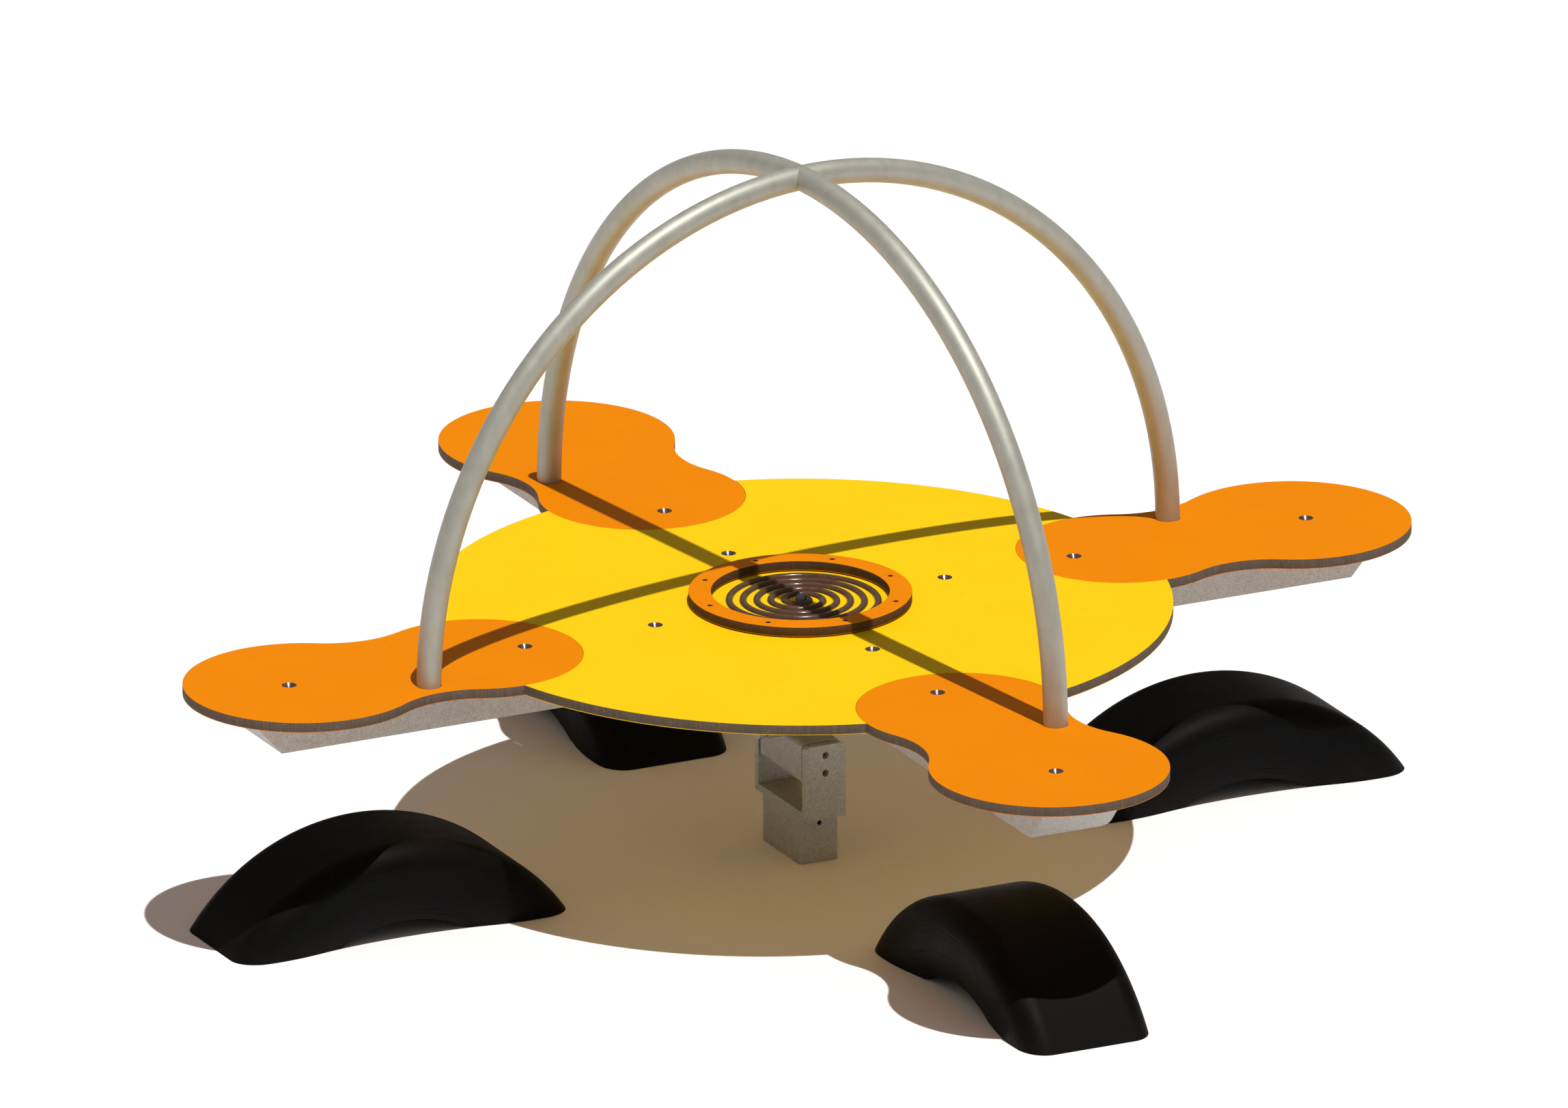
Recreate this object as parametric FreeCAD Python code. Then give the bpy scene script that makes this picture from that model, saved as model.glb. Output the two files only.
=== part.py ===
"""Four-seat rocking roundabout on a two-axis rubber-sprung pivot.

Frame: +Z up, origin on the ground under the middle of the post, +X and +Y along the two arm beams.
Lengths are in millimetres, angles in degrees.
"""
import FreeCAD
import Part
import os
from math import asin, cos, degrees, radians, sin, sqrt

V = FreeCAD.Vector
UP = V(0, 0, 1)

# Heights above the ground
DECK_TOP = 423.0
BOARD_T = 17.0
ARM_TOP = DECK_TOP - BOARD_T

# Deck disc and seats
DISC_R = 600.0
SEAT_OUTER_R = 192.5
SEAT_OUTER_AT = 889.0
SEAT_INNER_R = 168.0
SEAT_INNER_AT = 576.0
WAIST_R = 150.0
BOARD_GAP = 0.5
DISC_BOLT_AT = 260.0
SEAT_BOLTS_AT = (493.0, 913.0)
SLIDE = 0.1

# Board bolts: cap screws deep in countersunk steel cups, with a nut in the beam below
BOLT_R = 3.0
BOLT_HEAD_R = 4.95
BOLT_HEAD_H = 6.0
BOLT_KEY = 5.0
BOLT_KEY_DEPTH = 3.5
CUP_R = 7.0
CUP_RIM_R = 12.1
CUP_MOUTH_R = 11.4
CUP_BORE_R = BOLT_HEAD_R + SLIDE
CUP_FLOOR_T = 3.0
NUT_R = 6.15
NUT_L = 12.0
NUT_FLANGE_R = 9.0
NUT_FLANGE_T = 2.0

# Arm beams: welded box sections with ends cut back underneath
ARM_W = 140.0
ARM_H = 70.0
ARM_WALL = 5.0
ARM_EDGE_R = 12.0
ARM_TIP = 1022.0
ARM_CUT = 62.0

# Two-axis pivot
POST_X = 70.0
POST_Y = 140.0
POST_WALL = 6.0
POST_EDGE_R = 8.0
POST_TOP = 80.0
POST_VENT_R = 4.25
POST_VENT_Z = 66.5
FORK_PLATE = 12.0
FORK_W = 72.0
FORK_SPAN = 182.0
FORK_H = 126.0
FORK_TIP_R = 10.0
HOUSING = 70.0
HOUSING_WALL = 6.0
HOUSING_EDGE_R = 10.0
HOUSING_L = 148.0
BAR_SIDE = 38.0
BAR_SCREW_PITCH = 30.0
BAR_SCREW_R = 3.95
BAR_SCREW_L = 32.0
BAR_SCREW_HEAD_R = 5.8
BAR_SCREW_HEAD_H = 8.0
BAR_SCREW_KEY_R = 2.6
EAR_HOLE_R = 6.0
CORD_R = 9.0
CORD_L = 140.0
CORD_GAP = 0.05
EAR_OVER_HINGE = 33.0
HINGE_LOW = POST_TOP + FORK_H - EAR_OVER_HINGE
HOUSING_JOIN = HINGE_LOW + HOUSING / 2
HINGE_HIGH = HOUSING_JOIN + HOUSING / 2

# Hand hoops
TUBE_R = 20.0
TUBE_WALL = 2.6
HOOP_R = 720.0
HOOP_BASE = 422.0
FOOT_OFFSET = 100.0
HOOP_TURN = degrees(asin(FOOT_OFFSET / HOOP_R))
HOOP_HOLE_R = TUBE_R + 0.6
LUG_T = 6.0
LUG_HALF_W = 24.0
PLUG_L = 30.0
FOOT_BOLT_R = 5.0
FOOT_BOLT_DEPTH = 26.0
FOOT_NUT_ACROSS = 17.0
FOOT_NUT_H = 7.0

# Ball maze at the middle
RING_OUTER_R = 180.0
RING_INNER_R = 144.0
RING_T = 16.0
GASKET_T = 2.0
RING_SCREW_AT = 162.0
RING_SCREWS = 8
RING_SCREW_R = 2.9
RING_SCREW_HEAD_R = 4.3
RING_SCREW_HEAD_H = 4.0
RING_SCREW_KEY = 3.0
RING_SEAT_UP = 11.5
RING_SEAT = DECK_TOP + GASKET_T + RING_SEAT_UP
ROD_R = 6.0
GROOVE_CLEARANCE = 0.05
SPIRAL_OUT = 131.2
SPIRAL_OUT_ANGLE = -116.4
SPIRAL_IN = 17.0
SPIRAL_END_R = 17.4
SPIRAL_PITCH = 22.3
BALL_R = 8.0
BALL_Z = DECK_TOP + 4.0
BALL_DIMPLE_R = BALL_R + 0.4

# Bump-stop tyres, upright and half buried
TYRE_AT = 757.0
TYRE_W = 228.0
TYRE_OUT_R = 358.0
TYRE_IN_R = 230.0
TYRE_AXLE_Z = -201.0
TYRE_SHOULDER = 42.0
TYRE_BULGE = 5.5
TYRE_WALL = 14.0
TYRE_TREAD_T = 22.0
TYRE_BEAD_HALF = 98.0
TYRE_BEAD_T = 18.0


def moved(shape, dx=0.0, dy=0.0, dz=0.0):
    copy = shape.copy()
    copy.translate(V(dx, dy, dz))
    return copy


def turned(shape, angle):
    """The shape turned about the upright middle line."""
    copy = shape.copy()
    copy.rotate(V(0, 0, 0), UP, angle)
    return copy


def four(shape):
    """The shape at each quarter turn about the centre: left, front, right, back."""
    return [turned(shape, 90 * k) for k in range(4)]


def group(shapes):
    return Part.makeCompound(shapes)


def only(shape):
    """The one solid of a boolean result."""
    if len(shape.Solids) != 1:
        raise ValueError("expected one solid, got %d" % len(shape.Solids))
    return shape.Solids[0]


def face_of(edges):
    return Part.Face(Part.Wire(Part.__sortEdges__(edges)))


def disc(radius, height, z, x=0.0, y=0.0):
    return Part.makeCylinder(radius, height, V(x, y, z))


def cone(low_radius, top_radius, height, z, x=0.0, y=0.0):
    return Part.makeCone(low_radius, top_radius, height, V(x, y, z))


def polar(radius, angle, z=0.0):
    return V(radius * cos(radians(angle)), radius * sin(radians(angle)), z)


def rounded_bar(width, height, length, radius, edges=None):
    """Bar along +Y, centred on X and Z, with rounded long edges; edges may pick (x sign, z sign)."""
    bar = Part.makeBox(width, length, height, V(-width / 2, 0, -height / 2))
    long_edges = []
    for edge in bar.Edges:
        middle = edge.CenterOfMass
        corner = (1 if middle.x > 0 else -1, 1 if middle.z > 0 else -1)
        along_y = edge.BoundBox.YLength > 0.99 * length
        if along_y and (edges is None or corner in edges):
            long_edges.append(edge)
    return bar.makeFillet(radius, long_edges)


def box_tube(width, height, length, wall, radius, edges=None):
    outer = rounded_bar(width, height, length, radius, edges)
    inner_radius = max(radius - wall, 1.0)
    inner = rounded_bar(width - 2 * wall, height - 2 * wall, length, inner_radius, edges)
    return outer, inner


def washer(outer_r, inner_r, height, z):
    return disc(outer_r, height, z).cut(disc(inner_r, height, z))


def hexagon(across_flats, height, z):
    corner = across_flats / sqrt(3)
    points = [polar(corner, 60 * k, z) for k in range(7)]
    return Part.Face(Part.makePolygon(points)).extrude(V(0, 0, height))


# ---------------------------------------------------------------- boards

def seat_board(grow=0.0):
    """Peanut outline along -X: two round lobes joined by hollow waists, as one board."""
    outer_r = SEAT_OUTER_R + grow
    inner_r = SEAT_INNER_R + grow
    waist_r = WAIST_R - grow
    outer_reach = outer_r + waist_r
    inner_reach = inner_r + waist_r
    spacing = SEAT_OUTER_AT - SEAT_INNER_AT
    along = (inner_reach ** 2 - outer_reach ** 2 + spacing ** 2) / (2 * spacing)
    waist_y = sqrt(inner_reach ** 2 - along ** 2)
    outer_c = V(-SEAT_OUTER_AT, 0, 0)
    inner_c = V(-SEAT_INNER_AT, 0, 0)
    edges = []
    joins = {}
    for side in (1, -1):
        waist_c = V(-SEAT_INNER_AT - along, side * waist_y, 0)
        p_out = waist_c + (outer_c - waist_c).normalize() * waist_r
        p_in = waist_c + (inner_c - waist_c).normalize() * waist_r
        p_mid = waist_c + V(0, -side, 0) * waist_r
        edges.append(Part.Arc(p_out, p_mid, p_in).toShape())
        joins[side] = (p_out, p_in)
    far = outer_c + V(-outer_r, 0, 0)
    near = inner_c + V(inner_r, 0, 0)
    edges.append(Part.Arc(joins[1][0], far, joins[-1][0]).toShape())
    edges.append(Part.Arc(joins[1][1], near, joins[-1][1]).toShape())
    return moved(face_of(edges).extrude(V(0, 0, BOARD_T)), dz=ARM_TOP)


def foot_point(z=0.0):
    """Middle of the left hoop foot."""
    return V(-sqrt(HOOP_R ** 2 - FOOT_OFFSET ** 2), -FOOT_OFFSET, z)


def countersunk(rim_radius, radius, x=0.0, y=0.0):
    """Upright bar through one board with a 90-degree flared top."""
    flare = rim_radius - radius
    top = cone(radius, rim_radius, flare, DECK_TOP - flare, x, y)
    return disc(radius, BOARD_T, ARM_TOP, x, y).fuse(top)


def bolt_sink(x, y):
    """Hole for one bolt cup, through one board."""
    return countersunk(CUP_RIM_R + SLIDE, CUP_R + SLIDE, x, y)


def make_seat():
    board = seat_board()
    for at in SEAT_BOLTS_AT:
        board = board.cut(bolt_sink(-at, 0))
    foot = foot_point()
    board = board.cut(disc(HOOP_HOLE_R, BOARD_T, ARM_TOP, foot.x, foot.y))
    return only(board)


def make_deck_disc():
    board = disc(DISC_R, BOARD_T, ARM_TOP)
    for notch in four(seat_board(BOARD_GAP)):
        board = board.cut(notch)
    for hole in four(bolt_sink(-DISC_BOLT_AT, 0)):
        board = board.cut(hole)
    for at in ring_screw_places():
        board = board.cut(disc(RING_SCREW_R + SLIDE, BOARD_T, ARM_TOP, at.x, at.y))
    board = board.cut(spiral_solid(ROD_R + GROOVE_CLEARANCE))
    return only(board.cut(Part.makeSphere(BALL_DIMPLE_R, V(0, 0, BALL_Z))))


# ---------------------------------------------------------------- ball maze

def spiral_path():
    """Quarter arcs whose centres step round a small square, then half a turn round the ball."""
    step = SPIRAL_PITCH / 4
    quarters = int((SPIRAL_OUT - SPIRAL_IN) / step)
    radius = SPIRAL_OUT - step / 2
    angle = SPIRAL_OUT_ANGLE
    centre = polar(step / 2, angle, DECK_TOP) + polar(step / 2, angle - 90)
    edges = []
    for _ in range(quarters):
        start = centre + polar(radius, angle)
        middle = centre + polar(radius, angle + 45)
        end = centre + polar(radius, angle + 90)
        edges.append(Part.Arc(start, middle, end).toShape())
        angle += 90
        centre = centre + polar(step, angle)
        radius -= step
    centre = centre + polar(radius - SPIRAL_END_R, angle)
    last = [centre + polar(SPIRAL_END_R, angle + turn) for turn in (0, 90, 180)]
    edges.append(Part.Arc(*last).toShape())
    return edges


def spiral_solid(radius):
    """Round rod swept along the spiral."""
    edges = spiral_path()
    start = edges[0].valueAt(edges[0].FirstParameter)
    tangent = edges[0].tangentAt(edges[0].FirstParameter)
    profile = Part.Wire(Part.makeCircle(radius, start, tangent))
    return Part.Wire(edges).makePipeShell([profile], True, True)


def ring_screw_places():
    return [polar(RING_SCREW_AT, k * 360 / RING_SCREWS) for k in range(RING_SCREWS)]


def make_ring():
    ring = washer(RING_OUTER_R, RING_INNER_R, RING_T, DECK_TOP + GASKET_T)
    for at in ring_screw_places():
        ring = ring.cut(disc(RING_SCREW_HEAD_R + 2 * SLIDE, RING_T, RING_SEAT, at.x, at.y))
        ring = ring.cut(disc(RING_SCREW_R + SLIDE, RING_T, DECK_TOP + GASKET_T, at.x, at.y))
    return only(ring)


def make_gasket():
    inset = GASKET_T / 2
    gasket = washer(RING_OUTER_R - inset, RING_INNER_R + inset, GASKET_T, DECK_TOP)
    for at in ring_screw_places():
        gasket = gasket.cut(disc(RING_SCREW_R + SLIDE, GASKET_T, DECK_TOP, at.x, at.y))
    return only(gasket)


def ring_screw():
    """Cap screw whose head sits at the bottom of a ring hole and whose tip stops inside the board."""
    key_depth = RING_SCREW_HEAD_H * 0.6
    key = hexagon(RING_SCREW_KEY, key_depth, RING_SEAT + RING_SCREW_HEAD_H - key_depth)
    head = disc(RING_SCREW_HEAD_R, RING_SCREW_HEAD_H, RING_SEAT).cut(key)
    tip = ARM_TOP + 1.0
    return head.fuse(disc(RING_SCREW_R, RING_SEAT - tip, tip))


# ---------------------------------------------------------------- frame

def end_cut(inset=0.0):
    """Everything beyond the sloping end of an arm towards -Y, or beyond a plane inset from it."""
    slope = ARM_CUT / ARM_H
    top = ARM_TOP + 1
    low = ARM_TOP - ARM_H - 1
    y_top = -(ARM_TIP - inset) - slope
    y_low = -(ARM_TIP - inset) + ARM_CUT + slope
    beyond = y_top - ARM_H
    corners = [(y_top, top), (y_low, low), (beyond, low), (beyond, top), (y_top, top)]
    outline = Part.makePolygon([V(-ARM_W, y, z) for y, z in corners])
    return Part.Face(outline).extrude(V(2 * ARM_W, 0, 0))


def arm_half():
    """One half arm from the centre towards -Y: a folded box, rounded on its +X side, with a closed end."""
    folded_side = ((1, 1), (1, -1))
    outer, inner = box_tube(ARM_W, ARM_H, ARM_TIP, ARM_WALL, ARM_EDGE_R, folded_side)
    outer, inner = (moved(shape, dy=-ARM_TIP, dz=ARM_TOP - ARM_H / 2) for shape in (outer, inner))
    plate = ARM_WALL * sqrt(1 + (ARM_CUT / ARM_H) ** 2)
    return only(outer.cut(end_cut()).cut(inner.cut(end_cut(plate))))


def bolt_holes(at_list, radius):
    """Clearance holes through the top wall of an arm towards -Y."""
    return group([disc(radius, ARM_H, ARM_TOP - ARM_H / 2, 0, -at) for at in at_list])


def mirror_y(shape):
    return shape.mirror(V(0, 0, 0), V(0, 1, 0))


def make_arms():
    """One full beam along X and two half beams that butt against its sides."""
    half = arm_half().cut(bolt_holes((DISC_BOLT_AT,) + SEAT_BOLTS_AT, NUT_R + SLIDE / 2))
    left = mirror_y(turned(half, -90))
    full = only(left.fuse(turned(half, 90)).removeSplitter())
    middle = Part.makeBox(2 * ARM_W, ARM_W, 2 * ARM_H, V(-ARM_W, -ARM_W / 2, ARM_TOP - 1.5 * ARM_H))
    front = only(half.cut(middle))
    return full, front, mirror_y(front)


def board_nut():
    """Flanged insert pressed into the top wall of an arm, under one board bolt."""
    inside = ARM_TOP - ARM_WALL
    body = disc(NUT_R, ARM_WALL + NUT_L, inside - NUT_L)
    flange = disc(NUT_FLANGE_R, NUT_FLANGE_T, inside - NUT_FLANGE_T)
    return body.fuse(flange).cut(disc(BOLT_R + 2 * SLIDE, ARM_H, ARM_TOP - ARM_H))


def board_bolt():
    """Cap screw with a hexagon socket, its head on the floor of the cup."""
    seat = ARM_TOP + CUP_FLOOR_T
    head = disc(BOLT_HEAD_R, BOLT_HEAD_H, seat)
    tip = ARM_TOP - ARM_WALL - NUT_L + NUT_FLANGE_T
    shank = disc(BOLT_R, seat - tip, tip)
    return head.fuse(shank).cut(hexagon(BOLT_KEY, BOLT_KEY_DEPTH, seat + BOLT_HEAD_H - BOLT_KEY_DEPTH))


def bolt_cup():
    """Turned steel cup that lines a board hole: a flared mouth, a bore and a floor with the shank hole."""
    outer = countersunk(CUP_RIM_R, CUP_R)
    space = only(countersunk(CUP_MOUTH_R, CUP_BORE_R).cut(disc(CUP_R, CUP_FLOOR_T, ARM_TOP)))
    return only(outer.cut(space).cut(disc(BOLT_R + 2 * SLIDE, BOARD_T, ARM_TOP)))


def board_fixings(shape):
    """One shape at each of the twelve board bolts."""
    places = (DISC_BOLT_AT,) + SEAT_BOLTS_AT
    return group([turned(moved(shape, dx=-at), 90 * k) for k in range(4) for at in places])


# ---------------------------------------------------------------- hoops

def hoop_pipe(radius):
    """Half-circle of round bar in the XZ plane, from foot to foot, straight through the boards."""
    base = HOOP_BASE
    arc = Part.Arc(V(-HOOP_R, 0, base), V(0, 0, base + HOOP_R), V(HOOP_R, 0, base)).toShape()
    left = Part.LineSegment(V(-HOOP_R, 0, ARM_TOP), V(-HOOP_R, 0, base)).toShape()
    right = Part.LineSegment(V(HOOP_R, 0, base), V(HOOP_R, 0, ARM_TOP)).toShape()
    path = Part.Wire([left, arc, right])
    profile = Part.Wire(Part.makeCircle(radius, V(-HOOP_R, 0, ARM_TOP), UP))
    return Part.Solid(path.makePipeShell([profile], True, True))


def make_hoops():
    """One full hoop and two halves coped to its sides at the top."""
    outer = hoop_pipe(TUBE_R)
    tube = only(outer.cut(hoop_pipe(TUBE_R - TUBE_WALL)))
    full = turned(tube, HOOP_TURN)
    halves = turned(tube, HOOP_TURN + 90).cut(turned(outer, HOOP_TURN))
    halves = halves.Solids
    pieces = sorted([s for s in halves if s.Volume > 1000], key=lambda s: s.CenterOfMass.y)
    return full, pieces[0], pieces[-1]


def foot_parts():
    """Plug and bolt of the left hoop foot, both centred on the foot."""
    tapped = disc(FOOT_BOLT_R, PLUG_L - 2.0, ARM_TOP)
    plug = disc(TUBE_R - TUBE_WALL - SLIDE / 2, PLUG_L, ARM_TOP).cut(tapped)
    lug_z = ARM_TOP - LUG_T
    bolt_head = hexagon(FOOT_NUT_ACROSS, FOOT_NUT_H, lug_z - FOOT_NUT_H)
    bolt = bolt_head.fuse(disc(FOOT_BOLT_R - SLIDE / 2, FOOT_BOLT_DEPTH + LUG_T, lug_z))
    return only(plug), only(bolt)


def make_lug():
    """Flat tab welded to the arm's side under the left hoop foot, with a round tip."""
    foot = foot_point(ARM_TOP - LUG_T)
    half = V(LUG_HALF_W, 0, 0)
    root = V(foot.x, -ARM_W / 2, foot.z)
    tip = foot - V(0, LUG_HALF_W, 0)
    edges = [
        Part.makeLine(root - half, foot - half),
        Part.Arc(foot - half, tip, foot + half).toShape(),
        Part.makeLine(foot + half, root + half),
        Part.makeLine(root + half, root - half),
    ]
    lug = face_of(edges).extrude(V(0, 0, LUG_T))
    return only(lug.cut(disc(FOOT_BOLT_R + 2 * SLIDE, LUG_T, foot.z, foot.x, foot.y)))


# ---------------------------------------------------------------- pivot

def make_post():
    outer, inner = box_tube(POST_Y, POST_X, POST_TOP, POST_WALL, POST_EDGE_R)
    tube = outer.cut(inner)
    tube.rotate(V(0, 0, 0), V(1, 0, 0), 90)
    tube.rotate(V(0, 0, 0), UP, 90)
    outside = V(0, -POST_Y / 2 - POST_WALL, POST_VENT_Z)
    vent = Part.makeCylinder(POST_VENT_R, 3 * POST_WALL, outside, V(0, 1, 0))
    return only(tube.cut(vent))


def make_fork():
    """U of three plates: a web on the post and two ears across the ends of the housing along Y."""
    outer = Part.makeBox(FORK_W, FORK_SPAN, FORK_H, V(-FORK_W / 2, -FORK_SPAN / 2, POST_TOP))
    gap = FORK_SPAN - 2 * FORK_PLATE
    space = Part.makeBox(FORK_W, gap, FORK_H, V(-FORK_W / 2, -gap / 2, POST_TOP + FORK_PLATE))
    fork = outer.cut(space)
    tips = []
    for edge in fork.Edges:
        middle = edge.CenterOfMass
        along_y = edge.BoundBox.YLength > 0.9 * FORK_PLATE and edge.BoundBox.XLength < 0.1
        if along_y and abs(middle.z - POST_TOP - FORK_H) < 0.1 and abs(middle.x) > FORK_W / 2 - 1:
            tips.append(edge)
    fork = fork.makeFillet(FORK_TIP_R, tips)
    for side in (-1, 1):
        z = HINGE_LOW + side * BAR_SCREW_PITCH / 2
        fork = fork.cut(Part.makeCylinder(EAR_HOLE_R, FORK_SPAN, V(0, -FORK_SPAN / 2, z), V(0, 1, 0)))
    return only(fork)


def make_bar():
    """Square inner bar on edge, tapped at both ends, held between the ears."""
    length = FORK_SPAN - 2 * FORK_PLATE
    bar = Part.makeBox(BAR_SIDE, length, BAR_SIDE, V(-BAR_SIDE / 2, -length / 2, -BAR_SIDE / 2))
    bar.rotate(V(0, 0, 0), V(0, 1, 0), 45)
    bar.translate(V(0, 0, HINGE_LOW))
    for side in (-1, 1):
        z = HINGE_LOW + side * BAR_SCREW_PITCH / 2
        tapped = Part.makeCylinder(BAR_SCREW_R + SLIDE / 2, length, V(0, -length / 2, z), V(0, 1, 0))
        bar = bar.cut(tapped)
    return only(bar)


def bar_screws():
    """Four socket screws sunk in the ear holes."""
    screws = []
    for end in (-1, 1):
        for side in (-1, 1):
            z = HINGE_LOW + side * BAR_SCREW_PITCH / 2
            face = V(0, end * (FORK_SPAN / 2 - FORK_PLATE), z)
            shank = Part.makeCylinder(BAR_SCREW_R, BAR_SCREW_L, face, V(0, -end, 0))
            head = Part.makeCylinder(BAR_SCREW_HEAD_R, BAR_SCREW_HEAD_H, face, V(0, end, 0))
            key = face + V(0, end * BAR_SCREW_HEAD_H / 2, 0)
            socket = Part.makeCylinder(BAR_SCREW_KEY_R, BAR_SCREW_HEAD_H / 2, key, V(0, end, 0))
            screws.append(only(shank.fuse(head).cut(socket)))
    return group(screws)


def make_housing():
    """Square sleeve round the bar."""
    outer, inner = box_tube(HOUSING, HOUSING, HOUSING_L, HOUSING_WALL, HOUSING_EDGE_R)
    return only(moved(outer.cut(inner), dy=-HOUSING_L / 2, dz=HINGE_LOW))


def rubber_cords():
    """Four rubber cords packed into the corners between the bar and the sleeve."""
    reach = BAR_SIDE / 2 + CORD_R + CORD_GAP
    cords = []
    for k in range(4):
        x = reach * cos(radians(45 + 90 * k))
        z = reach * sin(radians(45 + 90 * k))
        start = V(x, -CORD_L / 2, HINGE_LOW + z)
        cords.append(Part.makeCylinder(CORD_R, CORD_L, start, V(0, 1, 0)))
    return group(cords)


def flipped(shape):
    """The lower half of the pivot turned over and round, which makes the upper half."""
    copy = shape.copy()
    copy.rotate(V(0, 0, HOUSING_JOIN), V(1, 0, 0), 180)
    copy.rotate(V(0, 0, 0), UP, 90)
    return copy


# ---------------------------------------------------------------- tyres

def tyre_section():
    """Hollow tyre section, open towards the axle: the axle lies along X at z = 0."""
    rise = sqrt(0.5) * TYRE_SHOULDER
    centre = V(TYRE_W / 2 - TYRE_SHOULDER, 0, TYRE_OUT_R - TYRE_SHOULDER)
    crown = centre + V(0, 0, TYRE_SHOULDER)
    flank = centre + V(TYRE_SHOULDER, 0, 0)
    bead = V(TYRE_BEAD_HALF, 0, TYRE_IN_R)
    toe = bead - V(TYRE_BEAD_T, 0, 0)
    liner_flank = flank - V(TYRE_WALL, 0, 0)
    liner_crown = V(centre.x, 0, TYRE_OUT_R - TYRE_TREAD_T)
    liner_turn = (liner_flank + liner_crown) * 0.5 + V(TYRE_BULGE / 3, 0, TYRE_BULGE / 3)
    bulge = V(TYRE_BULGE, 0, 0)
    right = [
        Part.makeLine(V(0, 0, TYRE_OUT_R), crown),
        Part.Arc(crown, centre + V(rise, 0, rise), flank).toShape(),
        Part.Arc(flank, (flank + bead) * 0.5 + bulge, bead).toShape(),
        Part.makeLine(bead, toe),
        Part.Arc(toe, (toe + liner_flank) * 0.5 + bulge, liner_flank).toShape(),
        Part.Arc(liner_flank, liner_turn, liner_crown).toShape(),
        Part.makeLine(liner_crown, V(0, 0, TYRE_OUT_R - TYRE_TREAD_T)),
    ]
    left = [edge.mirror(V(0, 0, 0), V(1, 0, 0)) for edge in right]
    return face_of(right + left)


def make_tyre():
    """Part of the left tyre that shows above the ground, upright under the arm."""
    body = tyre_section().revolve(V(0, 0, 0), V(1, 0, 0), 360)
    body = moved(turned(body, 90), dx=-TYRE_AT, dz=TYRE_AXLE_Z)
    size = 2 * TYRE_OUT_R
    ground = Part.makeBox(2 * size, size, size, V(-TYRE_AT - size, -size / 2, -size))
    return only(body.cut(ground))


# ---------------------------------------------------------------- all nodes

def build():
    nodes = {}
    nodes["ground_post"] = make_post()

    for name, place in (("lower", lambda s: s), ("upper", flipped)):
        nodes[name + "_fork"] = place(make_fork())
        nodes[name + "_inner_bar"] = place(make_bar())
        nodes[name + "_bar_screws"] = place(bar_screws())
        nodes[name + "_housing"] = place(make_housing())
        nodes[name + "_rubber_cords"] = place(rubber_cords())

    nodes["arm_full"], nodes["arm_front"], nodes["arm_back"] = make_arms()
    nodes["deck_disc"] = make_deck_disc()
    nodes["hoop_full"], nodes["hoop_front"], nodes["hoop_back"] = make_hoops()

    foot = foot_point()
    plug, foot_bolt = foot_parts()
    sides = ("left", "front", "right", "back")
    seat = make_seat()
    lug = make_lug()
    tyre = make_tyre()
    for k, side in enumerate(sides):
        nodes["seat_" + side] = turned(seat, 90 * k)
        nodes["foot_lug_" + side] = turned(lug, 90 * k)
        nodes["tyre_" + side] = turned(tyre, 90 * k)
    nodes["foot_plugs"] = group(four(moved(plug, foot.x, foot.y)))
    nodes["foot_bolts"] = group(four(moved(foot_bolt, foot.x, foot.y)))

    nodes["board_bolts"] = board_fixings(board_bolt())
    nodes["board_bolt_cups"] = board_fixings(bolt_cup())
    nodes["board_nuts"] = board_fixings(board_nut())

    nodes["maze_ring"] = make_ring()
    nodes["maze_gasket"] = make_gasket()
    screw = only(ring_screw())
    nodes["ring_screws"] = group([moved(screw, at.x, at.y) for at in ring_screw_places()])
    nodes["maze_spiral"] = spiral_solid(ROD_R)
    nodes["maze_ball"] = Part.makeSphere(BALL_R, V(0, 0, BALL_Z))
    return nodes


os.makedirs("parts", exist_ok=True)
for node_name, node_shape in build().items():
    if not node_shape.isValid():
        raise ValueError(node_name + " is not valid")
    node_shape.exportStep("parts/" + node_name + ".step")
    box = node_shape.BoundBox
    print("%-20s solids %2d  volume %10.0f  z %.1f to %.1f" % (
        node_name, len(node_shape.Solids), node_shape.Volume, box.ZMin, box.ZMax))
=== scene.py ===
import bmesh
import bpy
from math import cos, pi, radians, sin
from mathutils import Matrix, Vector


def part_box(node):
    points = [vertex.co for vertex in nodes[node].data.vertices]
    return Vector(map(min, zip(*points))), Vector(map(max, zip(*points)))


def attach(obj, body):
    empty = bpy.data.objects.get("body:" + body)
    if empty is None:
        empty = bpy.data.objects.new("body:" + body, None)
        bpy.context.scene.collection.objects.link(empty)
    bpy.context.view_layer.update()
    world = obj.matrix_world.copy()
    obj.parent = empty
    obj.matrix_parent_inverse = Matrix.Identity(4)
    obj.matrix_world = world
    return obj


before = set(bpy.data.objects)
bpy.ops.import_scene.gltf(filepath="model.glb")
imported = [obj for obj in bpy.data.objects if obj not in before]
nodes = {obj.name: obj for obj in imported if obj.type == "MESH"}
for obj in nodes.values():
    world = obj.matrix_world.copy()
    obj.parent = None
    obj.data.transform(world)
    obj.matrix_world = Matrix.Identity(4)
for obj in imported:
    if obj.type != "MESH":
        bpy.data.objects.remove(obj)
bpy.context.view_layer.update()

scene = bpy.context.scene
SIDES = ("left", "front", "right", "back")

# Camera: a very long lens, so that the picture has almost no perspective
AZIMUTH = radians(-26.43)
ELEVATION = radians(19.26)
LENS_MM = 1000.0
SENSOR_MM = 36.0
PICTURE_WIDTH = 2.5215
PICTURE_RIGHT = -0.0262
PICTURE_UP = 0.0755
CLIP_START = 1.0
CLIP_END = 400.0

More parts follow.
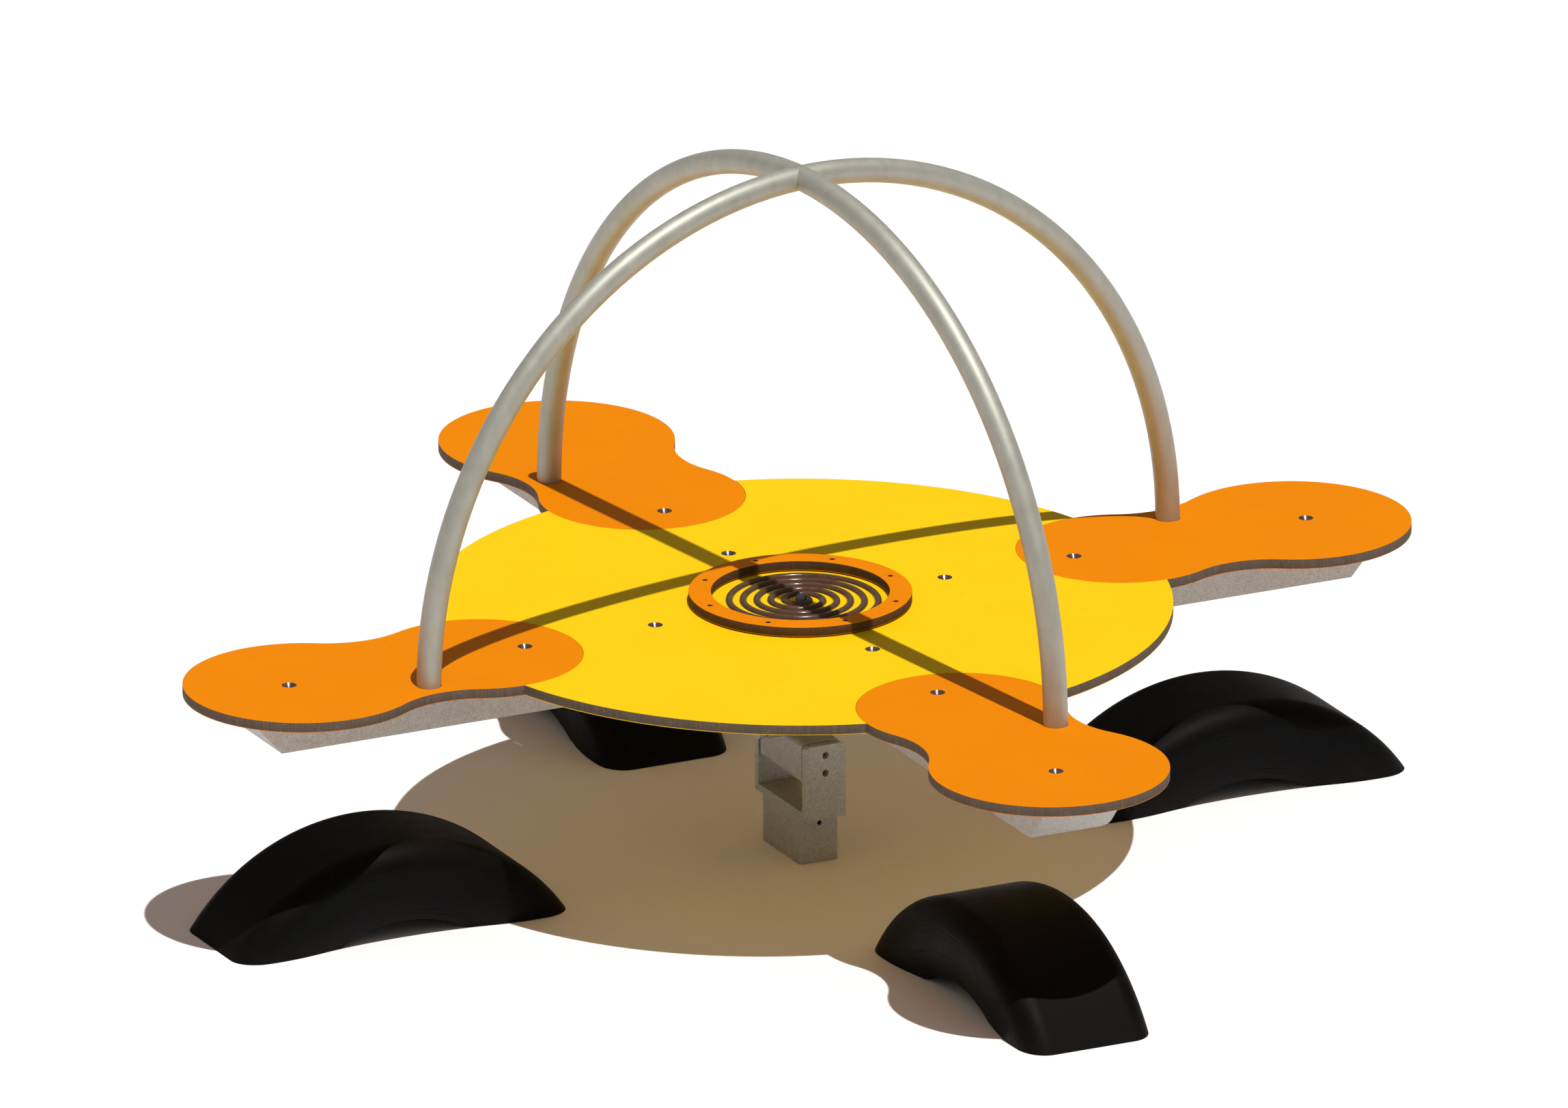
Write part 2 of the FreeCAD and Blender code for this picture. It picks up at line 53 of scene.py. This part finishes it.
# Light
SUN_FROM = Vector((0.04, -0.25, 0.967))
SUN_STRENGTH = 3.15
SUN_ANGLE = radians(0.55)
SUN_COLOR = (1.0, 0.985, 0.96)
SKY_STRENGTH = 0.21
SKY_COLOR = (1.0, 0.925, 0.85, 1.0)

# Floor
FLOOR_SIZE = 400.0
FLOOR_DROP = 0.0006
FLOOR_TONES = ((0.940, 0.922, 0.945), (0.965, 0.947, 0.970))

# Boards: colours of the skins and the cores, and thickness of the skins
ORANGE = (0.800, 0.235, 0.0)
ORANGE_DEEP = (0.775, 0.225, 0.0)
YELLOW = (0.90, 0.590, 0.006)
YELLOW_DEEP = (0.88, 0.570, 0.005)
BOARD_CORE = ((0.115, 0.083, 0.060), (0.165, 0.122, 0.090))
# The ring's core is the board core made darker and warmer: painted shade with a painted warm bounce tint on
# the ring's sides
RING_CORE_PAINTED_SHADE = ((0.088, 0.050, 0.028), (0.122, 0.072, 0.042))
SKIN_TOP = 0.0006
SKIN_UNDER = 0.0011
SKIN_WOBBLE = 0.0001

# Widths of the small rounded edges
FORK_EDGE = 0.0015
BEAM_EDGE = 0.0008
BOARD_EDGE = 0.0006
EDGE_SEGMENTS = 2
EDGE_MIN_ANGLE = radians(40)
JOIN_DISTANCE = 0.00002

# Weld beads: spacing of the ripples, steps in each ripple, sides of the section, and each joint's size
WELD_RIPPLE = 0.0024
WELD_STEPS = 4
WELD_SIDES = 9
WELD_WANDER = 0.07
WELD_WANDER_TURNS = 57
WELD_WANDER_LENGTH = 0.11
SLEEVE_WELD = 0.0042
FORK_WELD = 0.0046
BEAM_WELD = 0.0044
LUG_WELD = 0.0038
SLEEVE_CORNER = 0.008
SLEEVE_WELD_OFFSET = 0.0015

# Moulded rings of a tyre's sidewall: distance from the axle and width
TYRE_RADIUS = 0.358
TYRE_RINGS = ((0.240, 0.003), (0.247, 0.003), (0.275, 0.002), (0.305, 0.002), (0.3125, 0.004), (0.322, 0.002))
RING_EDGES = (0.4, 0.6)


# ------------------------------------------------------------------ nodes and materials

class Nodes:
    """Small helper that adds shader nodes to one material and links them."""

    def __init__(self, name):
        self.material = bpy.data.materials.new(name)
        self.material.use_nodes = True
        self.tree = self.material.node_tree
        self.shader = self.tree.nodes["Principled BSDF"]
        coordinates = self.tree.nodes.new("ShaderNodeTexCoord")
        self.place = coordinates.outputs["Object"]

    def link(self, value, socket):
        if hasattr(value, "is_linked"):
            self.tree.links.new(value, socket)
        else:
            socket.default_value = value

    def math(self, operation, first, second=0.0):
        node = self.tree.nodes.new("ShaderNodeMath")
        node.operation = operation
        for socket, value in zip(node.inputs, (first, second)):
            self.link(value, socket)
        return node.outputs[0]

    def stretch(self, scale, rotation=(0.0, 0.0, 0.0)):
        node = self.tree.nodes.new("ShaderNodeMapping")
        self.link(self.place, node.inputs["Vector"])
        node.inputs["Scale"].default_value = scale
        node.inputs["Rotation"].default_value = rotation
        return node.outputs[0]

    def noise(self, scale, detail=2.0, rough=0.5, place=None):
        node = self.tree.nodes.new("ShaderNodeTexNoise")
        self.link(place or self.place, node.inputs["Vector"])
        node.inputs["Scale"].default_value = scale
        node.inputs["Detail"].default_value = detail
        node.inputs["Roughness"].default_value = rough
        return node.outputs["Fac"]

    def cells(self, scale):
        node = self.tree.nodes.new("ShaderNodeTexVoronoi")
        self.link(self.place, node.inputs["Vector"])
        node.inputs["Scale"].default_value = scale
        return node.outputs["Color"]

    def band(self, value, low, high, to_low=0.0, to_high=1.0):
        node = self.tree.nodes.new("ShaderNodeMapRange")
        self.link(value, node.inputs["Value"])
        node.inputs["From Min"].default_value = low
        node.inputs["From Max"].default_value = high
        node.inputs["To Min"].default_value = to_low
        node.inputs["To Max"].default_value = to_high
        return node.outputs[0]

    def mix(self, share, first, second):
        node = self.tree.nodes.new("ShaderNodeMix")
        node.data_type = "RGBA"
        self.link(share, node.inputs["Factor"])
        for name, value in (("A", first), ("B", second)):
            socket = next(s for s in node.inputs if s.name == name and s.type == "RGBA")
            self.link(value if hasattr(value, "is_linked") else (*value, 1.0), socket)
        return next(s for s in node.outputs if s.type == "RGBA")

    def axis(self, name):
        node = self.tree.nodes.new("ShaderNodeSeparateXYZ")
        self.link(self.place, node.inputs[0])
        return node.outputs[name]

    def bump(self, height, distance, strength, under=None):
        node = self.tree.nodes.new("ShaderNodeBump")
        node.inputs["Distance"].default_value = distance
        node.inputs["Strength"].default_value = strength
        self.link(height, node.inputs["Height"])
        if under is not None:
            self.link(under, node.inputs["Normal"])
        return node.outputs[0]

    def finish(self, color, rough, normal=None, metal=0.0, **constants):
        self.link(color if hasattr(color, "is_linked") else (*color, 1.0), self.shader.inputs["Base Color"])
        self.link(rough, self.shader.inputs["Roughness"])
        self.shader.inputs["Metallic"].default_value = metal
        if normal is not None:
            self.link(normal, self.shader.inputs["Normal"])
        for name, value in constants.items():
            self.shader.inputs[name.replace("_", " ")].default_value = value
        return self.material


def board_material(name, skin, skin_deep, core, low, high):
    """Three-layer board: thin coloured skins over a brown-grey recycled core."""
    n = Nodes(name)
    wobble = n.math("MULTIPLY", n.math("SUBTRACT", n.noise(90.0), 0.5), SKIN_WOBBLE)
    height = n.math("ADD", n.axis("Z"), wobble)
    top = n.math("GREATER_THAN", height, high - SKIN_TOP)
    bottom = n.math("LESS_THAN", height, low + SKIN_UNDER)
    is_skin = n.math("MAXIMUM", top, bottom)

    cloud = n.noise(7.0, 4.0, 0.55)
    grain = n.noise(1400.0, 2.0, 0.6)
    skin_color = n.mix(n.band(cloud, 0.35, 0.7), skin, skin_deep)
    specks = n.math("GREATER_THAN", n.noise(160.0, 1.0), 0.775)
    skin_color = n.mix(n.math("MULTIPLY", specks, 0.35), skin_color, tuple(0.45 * c for c in skin_deep))

    saw = n.noise(420.0, 3.0, 0.65, n.stretch((1.0, 1.0, 0.06)))
    core_color = n.mix(n.band(saw, 0.3, 0.7), *core)
    flakes = n.math("MULTIPLY", n.math("GREATER_THAN", n.cells(260.0), 0.86), 0.35)
    core_color = n.mix(flakes, core_color, tuple(1.4 * c for c in core[1]))
    color = n.mix(is_skin, core_color, skin_color)

    core_rough = 0.62
    scuff = n.noise(38.0, 6.0, 0.7, n.stretch((1.0, 7.0, 1.0), (0.0, 0.0, 0.6)))
    skin_rough = n.band(n.math("ADD", scuff, n.math("MULTIPLY", grain, 0.3)), 0.4, 0.95, 0.36, 0.52)
    rough = n.math("ADD", n.math("MULTIPLY", is_skin, n.math("SUBTRACT", skin_rough, core_rough)), core_rough)
    relief = n.math("ADD", n.math("MULTIPLY", n.math("MULTIPLY", grain, is_skin), 0.35),
                    n.math("MULTIPLY", saw, n.math("SUBTRACT", 1.0, is_skin)))
    return n.finish(color, rough, n.bump(relief, 0.00008, 0.4), Specular_IOR_Level=0.03)


def galvanised_material():
    """Dull zinc coat: fine bright and dark grains over soft crystal patches and clouds."""
    n = Nodes("galvanised_plate")
    fine = n.noise(900.0, 3.0, 0.8)
    layers = ((n.cells(150.0), 0.07), (fine, 0.62), (n.cells(900.0), 0.30), (n.noise(9.0, 2.0, 0.5), 0.08))
    tone = 0.0
    for pattern, share in layers:
        tone = n.math("ADD", tone, n.math("MULTIPLY", pattern, share))
    color = n.mix(n.band(tone, 0.34, 0.82), (0.27, 0.262, 0.235), (0.70, 0.69, 0.64))
    rough = n.band(tone, 0.3, 0.9, 0.62, 0.44)
    return n.finish(color, rough, n.bump(fine, 0.00018, 0.5), 0.35)


def tube_material():
    """Blasted stainless tube: pale grey with a broad soft sheen, faint stains and small marks."""
    n = Nodes("ground_tube")
    ground = n.noise(900.0, 2.0, 0.7)
    stain = n.noise(22.0, 4.0, 0.6)
    streak = n.noise(60.0, 4.0, 0.6, n.stretch((1.0, 1.0, 0.35)))
    tone = n.band(n.math("ADD", stain, streak), 0.7, 1.3)
    color = n.mix(tone, (0.405, 0.408, 0.350), (0.485, 0.488, 0.430))
    marks = n.math("MULTIPLY", n.math("GREATER_THAN", n.noise(75.0, 3.0, 0.7), 0.72), 0.28)
    color = n.mix(marks, color, (0.22, 0.20, 0.17))
    rough = n.band(n.math("ADD", ground, streak), 0.6, 1.4, 0.49, 0.58)
    return n.finish(color, rough, n.bump(ground, 0.00006, 0.35), 0.50)


def metal_material(name, dark, light, rough_low, rough_high, metal=1.0):
    """Turned or plated metal with fine machining marks."""
    n = Nodes(name)
    marks = n.noise(1500.0, 2.0, 0.6, n.stretch((1.0, 1.0, 3.0)))
    stain = n.noise(140.0, 3.0, 0.6)
    color = n.mix(n.band(stain, 0.35, 0.7), dark, light)
    rough = n.band(n.math("ADD", marks, stain), 0.6, 1.4, rough_low, rough_high)
    return n.finish(color, rough, n.bump(marks, 0.00004, 0.4), metal)


def tyre_material(name, roll_axis, centre, axle_z):
    """Old smooth tyre: black rubber with moulded rings on the sidewalls, dust low down and small pits."""
    n = Nodes(name)
    dust = n.noise(16.0, 5.0, 0.65)
    pits = n.noise(420.0, 3.0, 0.7)
    low = n.band(n.axis("Z"), 0.0, 0.05, 1.0, 0.0)
    share = n.math("MULTIPLY", n.math("MULTIPLY", low, dust), 0.35)
    black = n.mix(n.band(dust, 0.35, 0.7), (0.0018, 0.0018, 0.0017), (0.0034, 0.0034, 0.0032))
    color = n.mix(share, black, (0.020, 0.017, 0.013))
    rough = n.band(n.math("ADD", dust, pits), 0.6, 1.4, 0.46, 0.66)

    out = n.math("SUBTRACT", n.math("ABSOLUTE", n.axis(roll_axis)), centre)
    up = n.math("SUBTRACT", n.axis("Z"), axle_z)
    radius = n.math("SQRT", n.math("ADD", n.math("MULTIPLY", out, out), n.math("MULTIPLY", up, up)))
    rings = 0.0
    for at, width in TYRE_RINGS:
        away = n.math("ABSOLUTE", n.math("SUBTRACT", radius, at))
        rings = n.math("ADD", rings, n.band(away, width * RING_EDGES[0], width * RING_EDGES[1], 1.0, 0.0))
    relief = n.bump(rings, 0.0009, 0.8)
    return n.finish(color, rough, n.bump(pits, 0.00025, 0.4, relief), Specular_IOR_Level=0.07)


def rod_material():
    """Glossy dark brown plastic rod, lightly mottled."""
    n = Nodes("glossy_rod")
    mottle = n.noise(70.0, 4.0, 0.6)
    color = n.mix(n.band(mottle, 0.3, 0.7), (0.078, 0.040, 0.026), (0.115, 0.061, 0.041))
    return n.finish(color, n.band(mottle, 0.3, 0.7, 0.17, 0.24), Specular_IOR_Level=0.34)


def rubber_material():
    """Black rubber of the cords and the gasket, with small pits."""
    n = Nodes("black_rubber")
    pits = n.noise(700.0, 3.0, 0.7)
    color = n.mix(pits, (0.012, 0.012, 0.012), (0.03, 0.03, 0.028))
    return n.finish(color, n.band(pits, 0.3, 0.7, 0.55, 0.8), n.bump(pits, 0.0001, 0.5))


def weld_material():
    """Galvanised weld bead, a little brighter than the plate."""
    n = Nodes("weld_bead")
    fine = n.noise(800.0, 3.0, 0.7)
    color = n.mix(n.band(fine, 0.3, 0.7), (0.26, 0.25, 0.22), (0.46, 0.45, 0.40))
    return n.finish(color, n.band(fine, 0.3, 0.7, 0.36, 0.55), n.bump(fine, 0.0001, 0.5), 0.6)


def paint(material, *names):
    """Gives the CAD nodes one material."""
    for name in names:
        mesh = nodes[name].data
        mesh.materials.clear()
        mesh.materials.append(material)


def soften(size, *names):
    """Small rounded edges, so that sharp edges catch the light."""
    for name in names:
        nodes[name].modifiers.new("joined", "WELD").merge_threshold = JOIN_DISTANCE
        bevel = nodes[name].modifiers.new("edges", "BEVEL")
        bevel.width = size
        bevel.segments = EDGE_SEGMENTS
        bevel.limit_method = "ANGLE"
        bevel.angle_limit = EDGE_MIN_ANGLE
        bevel.harden_normals = True


# ------------------------------------------------------------------ weld beads

def new_piece(name, bm, material, body):
    mesh = bpy.data.meshes.new(name)
    bmesh.ops.recalc_face_normals(bm, faces=bm.faces)
    bm.to_mesh(mesh)
    bm.free()
    piece = bpy.data.objects.new(name, mesh)
    scene.collection.objects.link(piece)
    mesh.materials.append(material)
    for polygon in mesh.polygons:
        polygon.use_smooth = True
    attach(piece, body)


def turn(point, quarter):
    """The point after a number of quarter turns about the middle."""
    return Matrix.Rotation(quarter * pi / 2, 3, "Z") @ Vector(point)


def add_tube(bm, path, across, up, radii):
    """Closed tube along a straight path; across and up are its cross directions, with one radius per point."""
    rings = []
    for point, radius in zip(path, radii):
        ring = []
        for k in range(WELD_SIDES):
            a = 2 * pi * k / WELD_SIDES
            ring.append(bm.verts.new(point + (across * cos(a) + up * sin(a)) * radius))
        rings.append(ring)
    for one, two in zip(rings, rings[1:]):
        for k in range(WELD_SIDES):
            j = (k + 1) % WELD_SIDES
            bm.faces.new((one[k], one[j], two[j], two[k]))
    bm.faces.new(rings[0])
    bm.faces.new(reversed(rings[-1]))


def weld_bead(bm, start, end, into, size):
    """Rippled fillet weld along a straight joint; into points from the joint to its open side."""
    start, end, into = Vector(start), Vector(end), Vector(into).normalized()
    along = (end - start).normalized()
    length = (end - start).length
    steps = max(8, int(WELD_STEPS * length / WELD_RIPPLE))
    path, radii = [], []
    for i in range(steps + 1):
        t = i / steps
        phase = (t * length / WELD_RIPPLE) % 1.0
        taper = min(1.0, 14 * t + 0.35, 14 * (1 - t) + 0.35)
        wander = WELD_WANDER * sin(WELD_WANDER_TURNS * t * length / WELD_WANDER_LENGTH + 90 * start.x)
        radii.append(size * taper * (0.84 + 0.16 * (1 - phase) ** 2 + wander))
        path.append(start + along * (length * t))
    add_tube(bm, path, into, along.cross(into), radii)


def weld_beads(name, runs, size, body):
    """One piece made of several beads, each given as its start, its end and its open side."""
    bm = bmesh.new()
    for start, end, into in runs:
        weld_bead(bm, start, end, into, size)
    new_piece(name, bm, weld, body)


def add_welds():
    """Beads where the sleeves, the upper fork, the beams and the lugs are joined."""
    sleeve_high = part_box("lower_housing")[1]
    low, high = sleeve_high.z - SLEEVE_WELD_OFFSET, sleeve_high.z + SLEEVE_WELD_OFFSET
    reach = sleeve_high.x - SLEEVE_CORNER
    runs = []
    for side in (-1, 1):
        runs.append(((side * reach, -reach, low), (side * reach, reach, low), (side, 0, -1)))
        runs.append(((-reach, side * reach, high), (reach, side * reach, high), (0, side, 1)))
    weld_beads("sleeve_welds", runs, SLEEVE_WELD, "cross_block")

    x, y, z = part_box("upper_fork")[1]
    runs = []
    for side in (-1, 1):
        runs.append(((-x, side * y, z), (x, side * y, z), (0, side, -1)))
        runs.append(((side * x, -y, z), (side * x, y, z), (side, 0, -1)))
    weld_beads("fork_welds", runs, FORK_WELD, "platform")

    arm_low, arm_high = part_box("arm_full")
    half = arm_high.y
    runs = []
    for side in (-1, 1):
        runs.append(((-half, side * half, arm_low.z), (half, side * half, arm_low.z), (0, side, -0.2)))
        for end in (-1, 1):
            corner = (end * half, side * half)
            runs.append(((*corner, arm_low.z), (*corner, arm_high.z), (end, side, 0)))
    weld_beads("beam_welds", runs, BEAM_WELD, "platform")

    lug_low, lug_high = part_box("foot_lug_left")
    runs = []
    for k in range(len(SIDES)):
        start, end = (turn((x, lug_high.y, lug_low.z), k) for x in (lug_low.x, lug_high.x))
        runs.append((start, end, turn((0, -1, -1), k)))
    weld_beads("lug_welds", runs, LUG_WELD, "platform")


# ------------------------------------------------------------------ scene

def add_camera():
    right = Vector((cos(AZIMUTH), sin(AZIMUTH), 0.0))
    up = Vector((-sin(AZIMUTH) * sin(ELEVATION), cos(AZIMUTH) * sin(ELEVATION), cos(ELEVATION)))
    back = right.cross(up)
    deck_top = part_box("deck_disc")[1].z
    target = Vector((0.0, 0.0, deck_top)) + right * PICTURE_RIGHT + up * PICTURE_UP
    data = bpy.data.cameras.new("camera")
    data.lens = LENS_MM
    data.sensor_width = SENSOR_MM
    data.clip_start = CLIP_START
    data.clip_end = CLIP_END
    camera = bpy.data.objects.new("camera", data)
    scene.collection.objects.link(camera)
    camera.rotation_mode = "QUATERNION"
    camera.rotation_quaternion = Matrix((right, up, back)).transposed().to_quaternion()
    camera.location = target + back * (PICTURE_WIDTH * LENS_MM / SENSOR_MM)
    scene.camera = camera


def add_light():
    sun = bpy.data.lights.new("sun", "SUN")
    sun.energy = SUN_STRENGTH
    sun.angle = SUN_ANGLE
    sun.color = SUN_COLOR
    lamp = bpy.data.objects.new("sun", sun)
    lamp.rotation_mode = "QUATERNION"
    lamp.rotation_quaternion = SUN_FROM.to_track_quat("Z", "Y")
    scene.collection.objects.link(lamp)
    world = bpy.data.worlds.new("studio")
    world.use_nodes = True
    background = world.node_tree.nodes["Background"]
    background.inputs["Color"].default_value = SKY_COLOR
    background.inputs["Strength"].default_value = SKY_STRENGTH
    scene.world = world
    scene.view_settings.view_transform = "Standard"


def add_floor():
    n = Nodes("pale_floor")
    material = n.finish(n.mix(n.noise(0.8, 3.0, 0.5), *FLOOR_TONES), 0.9, Specular_IOR_Level=0.1)
    bm = bmesh.new()
    half = FLOOR_SIZE / 2
    corners = ((-1, -1), (1, -1), (1, 1), (-1, 1))
    bm.faces.new([bm.verts.new((x * half, y * half, -FLOOR_DROP)) for x, y in corners])
    mesh = bpy.data.meshes.new("floor")
    bm.to_mesh(mesh)
    bm.free()
    mesh.materials.append(material)
    floor = bpy.data.objects.new("floor", mesh)
    scene.collection.objects.link(floor)


add_camera()
add_light()
add_floor()

deck_low, deck_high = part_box("deck_disc")
ring_low, ring_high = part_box("maze_ring")
tyre_low, tyre_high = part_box("tyre_left")
tyre_centre = -(tyre_low.x + tyre_high.x) / 2
axle_z = tyre_high.z - TYRE_RADIUS

orange = board_material("orange_board_skin", ORANGE, ORANGE_DEEP, BOARD_CORE, deck_low.z, deck_high.z)
yellow = board_material("yellow_board_skin", YELLOW, YELLOW_DEEP, BOARD_CORE, deck_low.z, deck_high.z)
# The ring's core colour carries painted shade and a painted warm bounce tint
ring_board = board_material("ring_board_skin", ORANGE, ORANGE_DEEP, RING_CORE_PAINTED_SHADE, ring_low.z, ring_high.z)
galvanised = galvanised_material()
steel_cup = metal_material("turned_cup", (0.16, 0.11, 0.105), (0.24, 0.175, 0.165), 0.16, 0.24, 0.75)
dark_metal = metal_material("dark_fastener", (0.03, 0.03, 0.032), (0.07, 0.068, 0.065), 0.3, 0.5)
# Ring screws: dark metal pushed to near black, as painted shade of the deep holes they sit in
dark_screw_painted_hole_shade = metal_material("dark_screw_painted_hole_shade", (0.004, 0.004, 0.004), (0.008, 0.0075, 0.007), 0.5, 0.7, 0.3)
sunk_screw = metal_material("sunk_screw", (0.14, 0.115, 0.095), (0.24, 0.21, 0.18), 0.45, 0.6, 0.3)
ball_metal = metal_material("ball_steel", (0.210, 0.225, 0.250), (0.270, 0.285, 0.310), 0.36, 0.46, 0.2)
weld = weld_material()

seats = ["seat_" + side for side in SIDES]
lugs = ["foot_lug_" + side for side in SIDES]
paint(orange, *seats)
paint(yellow, "deck_disc")
paint(ring_board, "maze_ring")
paint(galvanised, "ground_post", "lower_fork", "upper_fork", "lower_housing", "upper_housing",
      "arm_full", "arm_front", "arm_back", "lower_inner_bar", "upper_inner_bar", *lugs)
paint(tube_material(), "hoop_full", "hoop_front", "hoop_back")
paint(steel_cup, "board_bolt_cups")
paint(dark_metal, "board_bolts", "foot_bolts", "board_nuts", "foot_plugs")
paint(dark_screw_painted_hole_shade, "ring_screws")
paint(sunk_screw, "lower_bar_screws", "upper_bar_screws")
paint(ball_metal, "maze_ball")
paint(rubber_material(), "lower_rubber_cords", "upper_rubber_cords", "maze_gasket")
paint(rod_material(), "maze_spiral")
paint(tyre_material("tyre_along_x", "X", tyre_centre, axle_z), "tyre_left", "tyre_right")
paint(tyre_material("tyre_along_y", "Y", tyre_centre, axle_z), "tyre_front", "tyre_back")

soften(FORK_EDGE, "lower_fork", "upper_fork")
soften(BEAM_EDGE, "arm_full", "arm_front", "arm_back", "lower_housing", "upper_housing", *lugs)
soften(BOARD_EDGE, "maze_ring", "deck_disc", *seats)
add_welds()
